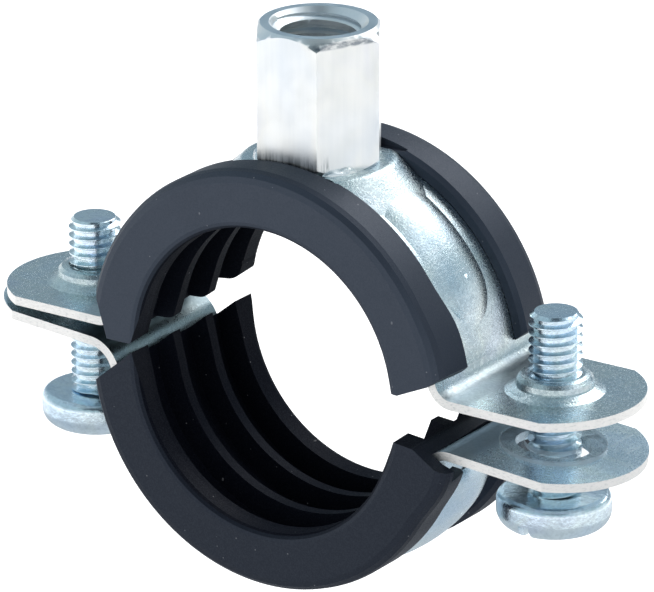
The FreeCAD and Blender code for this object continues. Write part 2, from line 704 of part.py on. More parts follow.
def cut_liner_end(body, name, side, up, shelf, levels):
    """Cuts one end off the liner; levels are its distances from the centre at the seat, the band
    and the lips, and shelf is how far the level at the seat reaches outwards."""
    at_seat, at_band, at_lip = levels
    past = S.band_radius * -0.3
    near = S.seat_radius - 4
    far = S.lip_radius + 2
    points = [(near, at_seat), (S.seat_radius + shelf, at_seat), (S.band_outer, at_band),
              (S.lip_radius, at_lip), (far, at_lip), (far, past), (near, past)]
    sketch = new_sketch(body, name + "_profile", "XZ_Plane")
    draw_outline(sketch, [(x * side, z * up) for x, z in points])
    pocket(body, sketch, name)


def cut_slanted_end(body, name):
    """Cuts the upper liner's left end: out of square along the pipe, and round at the seat."""
    face = -S.seat_radius + 0.35
    start = S.left_end + S.left_round * 1.35
    past = S.band_radius * -0.3
    near = S.seat_radius * -0.7
    far = -S.lip_radius - 2
    sketch = new_sketch(body, name + "_profile", "XZ_Plane", turn=S.left_slant)
    draw_outline(sketch, [(near, start),
                          (face, start),
                          (face, S.left_end, S.left_round),
                          (-S.band_radius, S.left_end),
                          (-S.band_outer, S.left_end_outer),
                          (-S.lip_radius, S.left_lip_end),
                          (far, S.left_lip_end),
                          (far, past),
                          (near, past)])
    pocket(body, sketch, name)


def shorten_lips(body, name, side, up, level):
    """Cuts the lips back to this level, between the side walls, to clear the ear's bend."""
    far = S.lip_radius + 2
    sketch = new_sketch(body, name + "_profile", "XZ_Plane")
    draw_outline(sketch, [(x * side, z * up) for x, z in
                          ((S.band_radius, -S.sheet), (far, -S.sheet), (far, level),
                           (S.band_radius, level))])
    feature = pocket(body, sketch, name)
    bind(feature, "Length", S.wall_slot * 2)


def straighten_leg(body, name, side, up):
    """Planes the land off the seat circle near the joint, so that it runs straight down."""
    down, out = cosine(S.leg_start), sine(S.leg_start)
    length = S.seat_radius * 0.4
    near = S.seat_radius - 4
    start = (S.seat_radius * down, S.seat_radius * out)
    end = (start[0] + length * out, start[1] - length * down)
    sketch = new_sketch(body, name + "_profile", "XZ_Plane")
    draw_outline(sketch, [(x * side, z * up) for x, z in
                          ((near, start[1]), start, end, (near, end[1]))])
    pocket(body, sketch, name)


def liner_channel(name, up):
    """The whole channel, from a little past one joint to a little past the other."""
    body = new_body(name)
    section = new_sketch(body, name + "_section", "YZ_Plane", turn=0 if up > 0 else 180)
    draw_outline(section, liner_section())
    turned(body, section, name + "_channel", "H_Axis", S.channel_span)
    return body


def make_room_for_nut(body):
    """Lowers the inner edges of the lips under the nut's two long flats."""
    half_x = S.nut_flats / 2 + S.nut_room
    half_y = S.nut_flats / 2 + S.nut_room
    sketch = new_sketch(body, "nut_room_profile", "XY_Plane", lift=S.seat_top - S.liner_fit * 3)
    draw_outline(sketch, [(-half_x, -half_y), (half_x, -half_y), (half_x, half_y),
                          (-half_x, half_y)])
    pocket(body, sketch, "nut_room", S.lip_radius, flip=True)


def upper_liner():
    body = liner_channel("upper_liner", 1)
    make_room_for_nut(body)
    cut_liner_end(body, "upper_right_cut", 1, 1, S.end_shelf,
                  (S.right_end, S.right_end_outer, S.right_lip_end))
    cut_slanted_end(body, "upper_left_cut")
    for side, word in ((1, "right"), (-1, "left")):
        straighten_leg(body, "upper_%s_leg" % word, side, 1)
    return body


def lower_liner():
    body = liner_channel("lower_liner", -1)
    cut_liner_end(body, "lower_right_cut", 1, -1, S.groove_depth,
                  (S.lower_right_end, S.lower_right_outer, S.lower_right_wall))
    shorten_lips(body, "lower_right_lips", 1, -1, S.lower_right_lip)
    cut_liner_end(body, "lower_left_cut", -1, -1, S.short_shelf,
                  (S.lower_left_end, S.lower_left_outer, S.lower_left_lip))
    for side, word in ((1, "right"), (-1, "left")):
        straighten_leg(body, "lower_%s_leg" % word, side, -1)
    return hang_open(body)


# ---------------------------------------------------------------- screws and washers

def clamp_screw(name, side, level, turn):
    """A pan headed screw, head down, with a slot and a cross for the driver."""
    body = new_body(name)
    profile = new_sketch(body, name + "_profile", "XZ_Plane")
    driven_end = eased(S.head_radius, -S.head_height, S.head_round, 3)
    draw_outline(profile, [(0, -S.head_height)] + driven_end
                 + [(S.head_radius, -S.head_rim),
                    (S.head_radius - S.head_bevel, 0),
                    (S.screw_radius, 0),
                    (S.screw_radius, S.screw_length - S.screw_point),
                    (S.screw_radius - S.screw_point, S.screw_length),
                    (0, S.screw_length)])
    turned(body, profile, name + "_blank", "V_Axis")
    recesses = (("slot", S.head_radius + 1, S.slot_width / 2, S.slot_depth),
                ("cross_along", S.cross_length / 2, S.cross_width / 2, S.cross_depth),
                ("cross_over", S.cross_width / 2, S.cross_length / 2, S.cross_depth))
    for word, half_x, half_y, depth in recesses:
        sketch = new_sketch(body, "%s_%s_profile" % (name, word), "XY_Plane", lift=-S.head_height)
        draw_outline(sketch, [(-half_x, -half_y), (half_x, -half_y), (half_x, half_y),
                              (-half_x, half_y)])
        pocket(body, sketch, "%s_%s" % (name, word), depth, flip=True)
    offset = S.screw_offset * side
    body.Placement = Placement(Vector(offset.number, 0, level.number),
                               Rotation(Vector(0, 0, 1), turn.number))
    bind(body, "Placement.Base.x", offset)
    bind(body, "Placement.Base.z", level)
    bind(body, "Placement.Rotation.Angle", turn)
    return body


def retaining_washer(name, side):
    """A thin washer that lies on the lower ear round the screw."""
    body = new_body(name)
    ring = new_sketch(body, name + "_profile", "XY_Plane", lift=-S.lower_ear_face)
    radius = S.washer_hole + S.washer_rim
    draw_circle(ring, S.screw_offset * side, 0, radius)
    draw_circle(ring, S.screw_offset * side, 0, S.washer_hole)
    pad(body, ring, name + "_ring", S.washer_thickness)
    top = S.washer_thickness - S.lower_ear_face
    dress(body, "Chamfer", name + "_edge", S.washer_edge,
          lambda edge: circle_at(edge, S.screw_offset * side, radius, top))
    return hang_open(body)


def hang_open(body):
    """Moves a piece of the lower half from its own frame to where it hangs, turned about the
    point where the left screw passes the top of the lower ear."""
    pivot_x, pivot_z = -S.screw_offset, -S.lower_ear_face
    lift = S.upper_ear_face - S.ear_gap + S.lower_ear_face
    turn_x = pivot_x * cosine(S.open_angle) + pivot_z * sine(S.open_angle)
    turn_z = pivot_z * cosine(S.open_angle) - pivot_x * sine(S.open_angle)
    base_x, base_z = pivot_x - turn_x, lift + pivot_z - turn_z
    body.Placement = Placement(Vector(base_x.number, 0, base_z.number),
                               Rotation(Vector(0, 1, 0), S.open_angle.number))
    bind(body, "Placement.Base.x", base_x)
    bind(body, "Placement.Base.z", base_z)
    bind(body, "Placement.Rotation.Angle", S.open_angle)
    return body


# ---------------------------------------------------------------- build, check and export

left_screw_level = S.lower_ear_underside - S.left_slack
right_ear_drop = S.screw_offset * 2 * sine(S.open_angle)
right_screw_level = S.lower_ear_underside - right_ear_drop - S.right_slack
pieces = [
    connecting_nut(),
    upper_strap(),
    upper_liner(),
    lower_strap(),
    lower_liner(),
    clamp_screw("left_screw", -1, left_screw_level, S.left_screw_turn),
    clamp_screw("right_screw", 1, right_screw_level, S.right_screw_turn),
    retaining_washer("left_washer", -1),
    retaining_washer("right_washer", 1),
]
doc.recompute()

for item in doc.Objects:
    if "Invalid" in item.State or "Error" in item.State:
        raise RuntimeError("%s failed: %s" % (item.Name, item.State))

os.makedirs("parts", exist_ok=True)
for piece in pieces:
    shape = piece.Shape
    if shape.isNull() or not shape.isValid() or len(shape.Solids) != 1:
        raise RuntimeError("%s is not one valid solid" % piece.Label)
    box = shape.BoundBox
    print("%-15s %9.2f mm3  x %7.2f %7.2f  y %7.2f %7.2f  z %7.2f %7.2f" % (
        piece.Label, shape.Volume, box.XMin, box.XMax, box.YMin, box.YMax, box.ZMin, box.ZMax))
    shape.exportStep(os.path.join("parts", piece.Label + ".step"))
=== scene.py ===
import math

import bmesh
import bpy
from mathutils import Matrix, Vector


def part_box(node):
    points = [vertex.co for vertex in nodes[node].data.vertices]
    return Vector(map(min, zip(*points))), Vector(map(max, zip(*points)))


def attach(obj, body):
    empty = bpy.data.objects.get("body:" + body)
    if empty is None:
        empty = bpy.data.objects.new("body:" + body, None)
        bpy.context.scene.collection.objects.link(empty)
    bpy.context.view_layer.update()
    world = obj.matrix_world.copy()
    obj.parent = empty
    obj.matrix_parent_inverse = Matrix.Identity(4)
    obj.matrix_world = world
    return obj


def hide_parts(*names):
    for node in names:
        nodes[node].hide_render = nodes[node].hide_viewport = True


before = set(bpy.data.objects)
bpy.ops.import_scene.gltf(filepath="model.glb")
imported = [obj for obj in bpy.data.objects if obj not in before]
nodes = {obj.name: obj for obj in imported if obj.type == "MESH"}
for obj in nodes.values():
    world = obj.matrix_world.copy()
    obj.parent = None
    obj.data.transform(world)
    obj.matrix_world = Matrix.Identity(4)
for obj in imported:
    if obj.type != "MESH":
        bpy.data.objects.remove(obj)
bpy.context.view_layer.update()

# The looks of a rubber lined pipe clamp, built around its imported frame. Lengths are metres: MM
# turns millimetres into them. +X runs to the right ear, +Y along the pipe and +Z to the rod nut.

MM = 0.001

# what polished metal reflects: direction from the clamp, half angles in degrees where a panel is
# full and where it has faded out, and its colour
PANELS = (
    ((-0.35, 0.93, 0.12), 30, 44, (0.26, 0.34, 0.40)),
    ((0.30, -0.45, 0.84), 14, 28, (0.06, 0.08, 0.10)),
    ((-0.05, 0.10, 1.0), 12, 24, (0.28, 0.38, 0.45)),
    ((0.05, 0.75, 0.65), 16, 21, (3.6, 3.6, 3.6)),
    ((0.50, 0.40, 0.77), 6, 13, (2.0, 2.0, 2.0)),
    ((0.82, -0.08, 0.57), 8, 18, (0.75, 0.82, 0.88)),
)

# the strap: its sides, the screws' distance from the middle and the top of its ears
SHEET = 1.0 * MM
strip_low, strip_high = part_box("upper_strap")
screw_low, screw_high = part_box("right_screw")
EDGE_OF_STRIP = strip_high.y - 0.15 * MM
SCREW_OFFSET = (screw_low.x + screw_high.x) / 2
EAR_TOP = strip_low.z + SHEET

# the screws: thread, head and the length below the head, to the pointed end
THREAD_RADIUS = 2.88 * MM
THREAD_ROOT = 2.34 * MM
THREAD_PITCH = 1.0 * MM
HEAD_RADIUS = 6.2 * MM
HEAD_HEIGHT = 3.9 * MM
DRIVEN_END_ROUND = 1.9 * MM
BEARING_RIM_ROUND = 0.9 * MM
POINT_BEVEL = 1.0 * MM
SCREW_LENGTH = screw_high.z - screw_low.z - HEAD_HEIGHT

# the nut's two threads: groove radius, crest radius and pitch
WIDE_THREAD = (4.96 * MM, 4.2 * MM, 1.5 * MM)
NARROW_THREAD = (3.96 * MM, 3.35 * MM, 1.25 * MM)
WIDE_DEPTH = 8.0 * MM

# plugs that fill the nut's plain bore, so that the threads have something to be cut from
WIDE_PLUG_RADIUS = 5.15 * MM
NARROW_PLUG_RADIUS = 4.15 * MM

# the nut's countersink, from its foot radius to its radius above the nut's top
MOUTH_FOOT = 4.0 * MM
MOUTH_RIM = 5.75 * MM
MOUTH_DEPTH = 1.75 * MM
MOUTH_MIDDLE = 0.475 * MM

# the lips' outside from the middle of the pipe, the ear's plain face from the screw's axis, and
# the height of a collar's crown above the ear
LIP_RADIUS = 22.9 * MM
COLLAR_REACH = 6.5 * MM
COLLAR_CROWN = 0.55 * MM

# painted shade on zinc: on the bend from band to ear, and where it is hidden from the light between the
# two halves
BEND_SHADE_COLOUR = (0.22, 0.27, 0.30)
SHELTERED_COLOUR = (0.10, 0.14, 0.15)

FLOOR_LEVEL = -0.11

# lumps of weld at the nut's foot: name, bearing of the flat, slide along it and half length
WELDS = (
    ("front_weld", -27.5, -1.0 * MM, 2.1 * MM),
    ("back_weld", 92.5, 0.6 * MM, 1.9 * MM),
    ("left_weld", -147.5, 0.3 * MM, 2.0 * MM),
)
WELD_THICKNESS = 0.72 * MM
WELD_RISE = 0.62 * MM

# the driver recess: length, width, depth and turn of the slot and of the cross's two bars
SLOT = (14 * MM, 1.5 * MM, 1.6 * MM, 0)
CROSS = ((6.6 * MM, 1.7 * MM, 2.5 * MM, 0), (6.6 * MM, 1.7 * MM, 2.5 * MM, 90))


# ---------------------------------------------------------------- modelling by hand

def pick(*objects):
    """Makes these the only selected objects and the first one active."""
    if bpy.context.object and bpy.context.object.mode != "OBJECT":
        bpy.ops.object.mode_set(mode="OBJECT")
    bpy.ops.object.select_all(action="DESELECT")
    for item in objects:
        item.select_set(True)
    bpy.context.view_layer.objects.active = objects[0]


def named(name):
    """Names the primitive that was just added and leaves it as the only selected object."""
    piece = bpy.context.object
    piece.name = name
    piece.data.name = name
    pick(piece)
    return piece


def edit(piece, mode="VERT"):
    """Opens the piece in edit mode with nothing selected."""
    pick(piece)
    bpy.ops.object.mode_set(mode="EDIT")
    bpy.ops.mesh.select_mode(type=mode)
    bpy.ops.mesh.select_all(action="DESELECT")


def done():
    """Closes edit mode."""
    bpy.ops.object.mode_set(mode="OBJECT")


def choose(piece, kind, test):
    """Selects the verts, edges or faces whose middle passes the test, in edit mode."""
    mesh = bmesh.from_edit_mesh(piece.data)
    for item in getattr(mesh, kind):
        if kind == "verts":
            middle = item.co
        elif kind == "edges":
            middle = (item.verts[0].co + item.verts[1].co) / 2
        else:
            middle = item.calc_center_median()
        item.select_set(bool(test(item, middle)))
    mesh.select_flush_mode()
    bmesh.update_edit_mesh(piece.data)


def finish_with(piece, kind, **values):
    """Adds a modifier and applies it."""
    pick(piece)
    modifier = piece.modifiers.new(kind.title(), kind)
    for key, value in values.items():
        setattr(modifier, key, value)
    bpy.ops.object.modifier_apply(modifier=modifier.name)


def combine(piece, other, operation):
    """Boolean of two closed pieces; the other one is used up."""
    finish_with(piece, "BOOLEAN", object=other, operation=operation, solver="EXACT")
    bpy.data.objects.remove(other)


def tidy_mesh(piece, reach=0.002 * MM):
    """Merges doubled corners and turns all faces outwards."""
    edit(piece)
    bpy.ops.mesh.select_all(action="SELECT")
    bpy.ops.mesh.remove_doubles(threshold=reach)
    bpy.ops.mesh.normals_make_consistent(inside=False)
    done()


def settle(piece):
    """Leaves the place in the mesh and the object at the origin."""
    pick(piece)
    bpy.ops.object.transform_apply(location=True, rotation=True, scale=True)


def give_finish(piece, material):
    """Makes this the piece's only material."""
    piece.data.materials.clear()
    piece.data.materials.append(material)


def dress(piece, material, angle):
    """Gives the piece its finish and smooths it where its faces meet below the angle."""
    give_finish(piece, material)
    pick(piece)
    bpy.ops.object.shade_smooth_by_angle(angle=math.radians(angle))
    finish_with(piece, "WEIGHTED_NORMAL", mode="FACE_AREA", weight=80, keep_sharp=True)


# ---------------------------------------------------------------- shader building

class Sheet:
    """A node tree with short calls for adding and joining nodes."""

    def __init__(self, tree):
        self.tree = tree
        self.count = 0

    def add(self, kind, settings=None, **inputs):
        node = self.tree.nodes.new("ShaderNode" + kind)
        node.location = (self.count * 180, 0)
        self.count += 1
        for key, value in (settings or {}).items():
            setattr(node, key, value)
        for key, value in inputs.items():
            self.feed(node.inputs[key.replace("_", " ")], value)
        return node

    def feed(self, socket, value):
        if isinstance(value, bpy.types.NodeSocket):
            self.tree.links.new(value, socket)
        elif hasattr(value, "__len__") and len(value) == 3 and socket.type == "RGBA":
            socket.default_value = (*value, 1)
        else:
            socket.default_value = value

    def math(self, operation, first, second=0.0, clamp=False):
        node = self.add("Math", {"operation": operation, "use_clamp": clamp})
        self.feed(node.inputs[0], first)
        self.feed(node.inputs[1], second)
        return node.outputs[0]

    def noise(self, place, scale, detail=2.0, roughness=0.5, distortion=0.0):
        node = self.add("TexNoise", Vector=place, Scale=scale, Detail=detail, Roughness=roughness,
                        Distortion=distortion)
        return node.outputs["Fac"]

    def stretch(self, place, scale=(1, 1, 1), shift=(0, 0, 0)):
        return self.add("Mapping", Vector=place, Scale=scale, Location=shift).outputs[0]

    def band(self, value, low, high, start=0.0, end=1.0):
        """A smooth step of value from low to high."""
        node = self.add("MapRange", {"interpolation_type": "SMOOTHSTEP"})
        for key, number in zip(("Value", "From Min", "From Max", "To Min", "To Max"),
                               (value, low, high, start, end)):
            self.feed(node.inputs[key], number)
        return node.outputs[0]

    def blend(self, share, first, second):
        node = self.add("Mix", {"data_type": "RGBA", "clamp_factor": True})
        self.feed(node.inputs[0], share)
        self.feed(node.inputs[6], first)
        self.feed(node.inputs[7], second)
        return node.outputs[2]

    def axes(self, place):
        node = self.add("SeparateXYZ")
        self.feed(node.inputs[0], place)
        return node.outputs

    def bump(self, height, depth, strength=1.0, normal=None):
        node = self.add("Bump", Height=height, Distance=depth, Strength=strength)
        if normal is not None:
            self.feed(node.inputs["Normal"], normal)
        return node.outputs[0]

    def use(self, group, **inputs):
        node = self.tree.nodes.new("ShaderNodeGroup")
        node.node_tree = group
        node.location = (self.count * 180, -300)
        self.count += 1
        for key, value in inputs.items():
            self.feed(node.inputs[key.replace("_", " ")], value)
        return node.outputs


def new_group(name, inputs, outputs):
    """An empty shader group; inputs and outputs map a name to its socket kind."""
    tree = bpy.data.node_groups.new(name, "ShaderNodeTree")
    for in_out, sockets in (("INPUT", inputs), ("OUTPUT", outputs)):
        for label, kind in sockets.items():
            tree.interface.new_socket(name=label, in_out=in_out, socket_type="NodeSocket" + kind)
    entry = tree.nodes.new("NodeGroupInput")
    leave = tree.nodes.new("NodeGroupOutput")
    leave.location = (2400, 0)
    return tree, Sheet(tree), entry.outputs, leave.inputs


def new_material(name, **plain):
    """A material with its own shader; plain sets the shader's own sockets."""
    material = bpy.data.materials.new(name)
    material.use_nodes = True
    tree = material.node_tree
    shader = tree.nodes["Principled BSDF"]
    shader.location = (2400, 0)
    tree.nodes["Material Output"].location = (2700, 0)
    for key, value in plain.items():
        shader.inputs[key.replace("_", " ")].default_value = value
    sheet = Sheet(tree)
    place = sheet.add("TexCoord").outputs["Object"]
    return material, sheet, shader.inputs, place


# ---------------------------------------------------------------- shared effects

def make_spangle():
    """Crystals and grain of a zinc coat: a tone from 0 to 1 and a height."""
    tree, sheet, entry, leave = new_group(
        "zinc spangle", {"Place": "Vector", "Size": "Float"}, {"Tone": "Float", "Height": "Float"})
    density = sheet.math("DIVIDE", 1.0, entry["Size"])
    fine = sheet.noise(entry["Place"], density, detail=3.0, roughness=0.65)
    flakes = sheet.add("TexVoronoi", Vector=entry["Place"], Scale=density).outputs["Color"]
    flake_tone = sheet.axes(flakes)[0]
    clouds = sheet.noise(entry["Place"], sheet.math("MULTIPLY", density, 0.06), detail=2.0)
    tone = sheet.math("ADD", sheet.math("MULTIPLY", fine, 0.5), sheet.math("MULTIPLY", flake_tone, 0.2))
    sheet.feed(leave["Tone"], sheet.math("ADD", tone, sheet.math("MULTIPLY", clouds, 0.3)))
    sheet.feed(leave["Height"], sheet.math("ADD", fine, sheet.math("MULTIPLY", flake_tone, 0.35)))
    return tree


def make_tint():
    """The faint blue, straw and lilac film on passivated zinc, over a given colour."""
    tree, sheet, entry, leave = new_group(
        "zinc tint", {"Place": "Vector", "Size": "Float", "Colour": "Color", "Strength": "Float"},
        {"Colour": "Color"})
    density = sheet.math("DIVIDE", 1.0, entry["Size"])
    drift = sheet.noise(entry["Place"], density, detail=2.0, distortion=0.6)
    ramp = sheet.add("ValToRGB", Fac=drift)
    stops = ((0.30, (0.62, 0.74, 0.90)), (0.45, (0.86, 0.90, 0.94)), (0.56, (0.97, 0.94, 0.84)),
             (0.70, (0.82, 0.80, 0.92)))
    elements = ramp.color_ramp.elements
    while len(elements) < len(stops):
        elements.new(0.5)
    for element, (position, colour) in zip(elements, stops):
        element.position = position
        element.color = (*colour, 1)
    film = sheet.add("Mix", {"data_type": "RGBA", "blend_type": "MULTIPLY"})
    sheet.feed(film.inputs[0], entry["Strength"])
    sheet.feed(film.inputs[6], entry["Colour"])
    sheet.feed(film.inputs[7], ramp.outputs[0])
    sheet.feed(leave["Colour"], film.outputs[2])
    return tree


def make_scuffs():
    """Short hair scratches: 1 where the coat is scored."""
    tree, sheet, entry, leave = new_group(
        "hair scratches", {"Place": "Vector", "Size": "Float"}, {"Mask": "Float"})
    density = sheet.math("DIVIDE", 1.0, entry["Size"])
    masks = []
    for turn, stretch in ((0.35, 0.05), (-0.8, 0.04), (1.3, 0.06)):
        laid = sheet.add("Mapping", Vector=entry["Place"], Rotation=(turn, turn * 0.7, turn),
                         Scale=(1, stretch, 1)).outputs[0]
        streak = sheet.noise(laid, density, detail=1.0)
        masks.append(sheet.band(streak, 0.68, 0.74))
    both = sheet.math("MAXIMUM", masks[0], masks[1])
    sheet.feed(leave["Mask"], sheet.math("MAXIMUM", both, masks[2]))
    return tree


def make_dust():
    """Specks of dust, sparse and of mixed size."""
    tree, sheet, entry, leave = new_group(
        "dust", {"Place": "Vector", "Spacing": "Float", "Share": "Float"}, {"Mask": "Float"})
    density = sheet.math("DIVIDE", 1.0, entry["Spacing"])
    spots = sheet.add("TexVoronoi", Vector=entry["Place"], Scale=density, Randomness=1.0)
    near = sheet.band(spots.outputs["Distance"], 0.05, 0.13, 1.0, 0.0)
    chance = sheet.axes(spots.outputs["Color"])[0]
    kept = sheet.math("LESS_THAN", chance, entry["Share"])
    sheet.feed(leave["Mask"], sheet.math("MULTIPLY", near, kept))
    return tree


SPANGLE = make_spangle()
TINT = make_tint()
SCUFFS = make_scuffs()
DUST = make_dust()


# ---------------------------------------------------------------- finishes

def sheared_edge(sheet, x, y, normal):
    """1 on the strip's two sides, and on the outline of each ear beyond its collar."""
    side = sheet.math("MULTIPLY",
                      sheet.math("GREATER_THAN", sheet.math("ABSOLUTE", y), EDGE_OF_STRIP),
                      sheet.math("GREATER_THAN", sheet.math("ABSOLUTE", normal[1]), 0.8))
    across = sheet.math("SUBTRACT", x, SCREW_OFFSET)
    from_screw = sheet.math("ADD", sheet.math("POWER", across, 2.0), sheet.math("POWER", y, 2.0))
    outline = sheet.math("MULTIPLY", sheet.math("GREATER_THAN", from_screw, COLLAR_REACH ** 2),
                         sheet.math("GREATER_THAN", x, SCREW_OFFSET - 4 * MM))
    upright = sheet.math("LESS_THAN", sheet.math("ABSOLUTE", normal[2]), 0.3)
    return sheet.math("MAXIMUM", side, sheet.math("MULTIPLY", outline, upright))


def painted_bend_shade(sheet, x, z):
    """Up to 0.6 on the bend from band to ear, where shade is painted and the finish made rougher."""
    across = sheet.math("MULTIPLY", sheet.band(x, 20.8 * MM, 22.6 * MM),
                        sheet.band(x, 24.5 * MM, 26.5 * MM, 0.6, 0.0))
    return sheet.math("MULTIPLY", across, sheet.band(z, 2.6 * MM, 5.5 * MM, 1.0, 0.0))


def sheltered_bend(sheet, x, share):
    """The given share on the left bend, which lies between the two halves."""
    return sheet.math("MULTIPLY", sheet.band(x, -27 * MM, -24 * MM),
                      sheet.band(x, -16 * MM, -13 * MM, share, 0.0))


def zinc_strip(name, grain, depth, roughness, colour, contrast=0.4, shelter=0.0):
    """Zinc plated strip: grain on its faces, a paler, torn edge where it was sheared, and painted shade
    on its bends.
    """
    material, sheet, shader, place = new_material(name, Metallic=1.0)
    spangle = sheet.use(SPANGLE, Place=place, Size=grain)
    tinted = sheet.use(TINT, Place=place, Size=9 * MM, Colour=colour, Strength=0.4)["Colour"]
    darker = sheet.blend(contrast, tinted, (0.26, 0.34, 0.40))
    toned = sheet.blend(sheet.band(spangle["Tone"], 0.34, 0.62), darker, tinted)
    scuffs = sheet.use(SCUFFS, Place=place, Size=0.5 * MM)["Mask"]
    coloured = sheet.blend(sheet.math("MULTIPLY", scuffs, 0.25), toned, (0.85, 0.88, 0.90))

    normal = sheet.axes(sheet.add("NewGeometry").outputs["True Normal"])
    x, y, z = sheet.axes(place)
    either_side = sheet.math("ABSOLUTE", x)
    bend_shade = painted_bend_shade(sheet, either_side, z)
    cut = sheared_edge(sheet, either_side, y, normal)
    tears = sheet.noise(sheet.stretch(place, (1, 1, 2.5)), 1 / (0.45 * MM), detail=4.0, roughness=0.6)
    cut_colour = sheet.blend(sheet.band(tears, 0.48, 0.75, 0.0, 0.7), (0.93, 0.91, 0.88),
                             (0.60, 0.61, 0.60))
    # painted shade: the bend from band to ear, and the left bend between the halves, are darkened
    coloured = sheet.blend(bend_shade, coloured, BEND_SHADE_COLOUR)
    coloured = sheet.blend(sheltered_bend(sheet, x, shelter), coloured, SHELTERED_COLOUR)
    sheet.feed(shader["Base Color"], sheet.blend(cut, coloured, cut_colour))
    worn = sheet.band(spangle["Tone"], 0.3, 0.7, roughness + 0.10, roughness - 0.06)
    worn = sheet.math("ADD", worn, sheet.math("MULTIPLY", bend_shade, 0.2))
    sheet.feed(shader["Roughness"], sheet.math("ADD", worn, sheet.math("MULTIPLY", cut, 0.12)))
    sheet.feed(shader["Normal"], sheet.bump(spangle["Height"], depth))
    return material


def scored_foot(sheet, place, foot_level):
    """1 on the scores at the foot of the front flat."""
    _, y, z = sheet.axes(place)
    foot = sheet.band(z, foot_level + 0.4 * MM, foot_level + 2.6 * MM, 1.0, 0.0)
    marks = sheet.noise(sheet.stretch(place, (1, 1, 0.12)), 1 / (0.7 * MM), detail=4.0, roughness=0.7)
    front = sheet.math("LESS_THAN", y, -5.0 * MM)
    return sheet.math("MULTIPLY", sheet.math("MULTIPLY", foot, front), sheet.band(marks, 0.42, 0.62))


def struck_rim(sheet, place, top):
    """1 on the hammered spot where the chamfer meets the flat on the right."""
    x, y, z = sheet.axes(place)
    facing = sheet.math("ADD", sheet.math("MULTIPLY", x, 0.85), sheet.math("MULTIPLY", y, -0.53))
    near = sheet.band(facing, 5.7 * MM, 6.3 * MM)
    rim = sheet.math("MULTIPLY", sheet.band(z, top - 1.2 * MM, top - 0.9 * MM),
                     sheet.band(z, top - 0.5 * MM, top - 0.25 * MM, 1.0, 0.0))
    dents = sheet.noise(sheet.stretch(place, (1, 1, 2)), 1 / (1.2 * MM), detail=4.0, roughness=0.6)
    return sheet.math("MULTIPLY", sheet.math("MULTIPLY", near, rim), sheet.band(dents, 0.30, 0.62))


def zinc_nut():
    """Nut: satin flats with drawn lines, scores at the foot, a hammered spot and a painted blue
    reflection on its up-facing top.
    """
    material, sheet, shader, place = new_material("nut_zinc", Metallic=1.0)
    low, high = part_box("connecting_nut")
    lines = sheet.noise(sheet.stretch(place, (1, 1, 0.04)), 1 / (0.5 * MM), detail=3.0)
    clouds = sheet.noise(sheet.stretch(place, (1, 1, 0.8)), 1 / (3 * MM), detail=2.0)
    colour = sheet.use(TINT, Place=sheet.stretch(place, (1, 1, 0.5)), Size=7 * MM,
                       Colour=(0.93, 0.94, 0.94), Strength=0.3)["Colour"]
    drawn = sheet.blend(sheet.band(lines, 0.35, 0.65, 0.0, 0.07), colour, (0.55, 0.60, 0.66))
    scored = sheet.math("MULTIPLY", scored_foot(sheet, place, low.z), 0.75)
    marked = sheet.blend(scored, drawn, (0.16, 0.19, 0.21))
    marked = sheet.blend(struck_rim(sheet, place, high.z), marked, (0.30, 0.33, 0.36))
    rise = sheet.axes(sheet.add("NewGeometry").outputs["True Normal"])[2]
    # painted reflection: faces turned upwards are painted bluer, as the blue-grey surroundings above
    # would show in them
    up_facing_reflection = sheet.math("MULTIPLY", sheet.band(rise, 0.85, 0.97), 0.8)
    sheet.feed(shader["Base Color"], sheet.blend(up_facing_reflection, marked, (0.52, 0.64, 0.72)))
    sheet.feed(shader["Roughness"], sheet.band(clouds, 0.3, 0.7, 0.34, 0.44))
    height = sheet.math("ADD", sheet.math("MULTIPLY", lines, 0.15), clouds)
    sheet.feed(shader["Normal"], sheet.bump(height, 0.012 * MM))
    return material


def zinc_screw():
    """Screws: rolled thread and forged head, bright blue zinc."""
    material, sheet, shader, place = new_material("screw_zinc", Metallic=1.0)
    colour = sheet.use(TINT, Place=place, Size=5 * MM, Colour=(0.80, 0.93, 1.0), Strength=0.35)
    spangle = sheet.use(SPANGLE, Place=place, Size=0.35 * MM)
    toned = sheet.blend(sheet.band(spangle["Tone"], 0.35, 0.6, 0.25, 0.0), colour["Colour"],
                        (0.30, 0.38, 0.46))
    sheet.feed(shader["Base Color"], toned)
    sheet.feed(shader["Roughness"], sheet.band(spangle["Tone"], 0.3, 0.7, 0.26, 0.17))
    dents = sheet.noise(place, 1 / (0.8 * MM), detail=3.0, roughness=0.6)
    forged = sheet.bump(dents, 0.05 * MM)
    sheet.feed(shader["Normal"], sheet.bump(spangle["Height"], 0.006 * MM, normal=forged))
    return material


def bore_shade_mask(sheet, place, seat, across):
    """Painted shade mask: 1 on lands, ribs and grooves, all that lies inside the band but the liner's
    front face.
    """
    x, y, z = sheet.axes(place)
    from_seat = sheet.math("ADD", sheet.math("POWER", sheet.math("SUBTRACT", x, seat[0]), 2.0),
                           sheet.math("POWER", sheet.math("SUBTRACT", z, seat[1]), 2.0))
    inside = sheet.band(sheet.math("SQRT", from_seat), 19.2 * MM, 20.2 * MM, 1.0, 0.0)
    turned_in = sheet.band(across, -0.95, -0.45, 0.0, 0.85)
    behind_front = sheet.band(y, -10.4 * MM, -8.6 * MM)
    return sheet.math("MULTIPLY", inside, sheet.math("MAXIMUM", turned_in, behind_front))


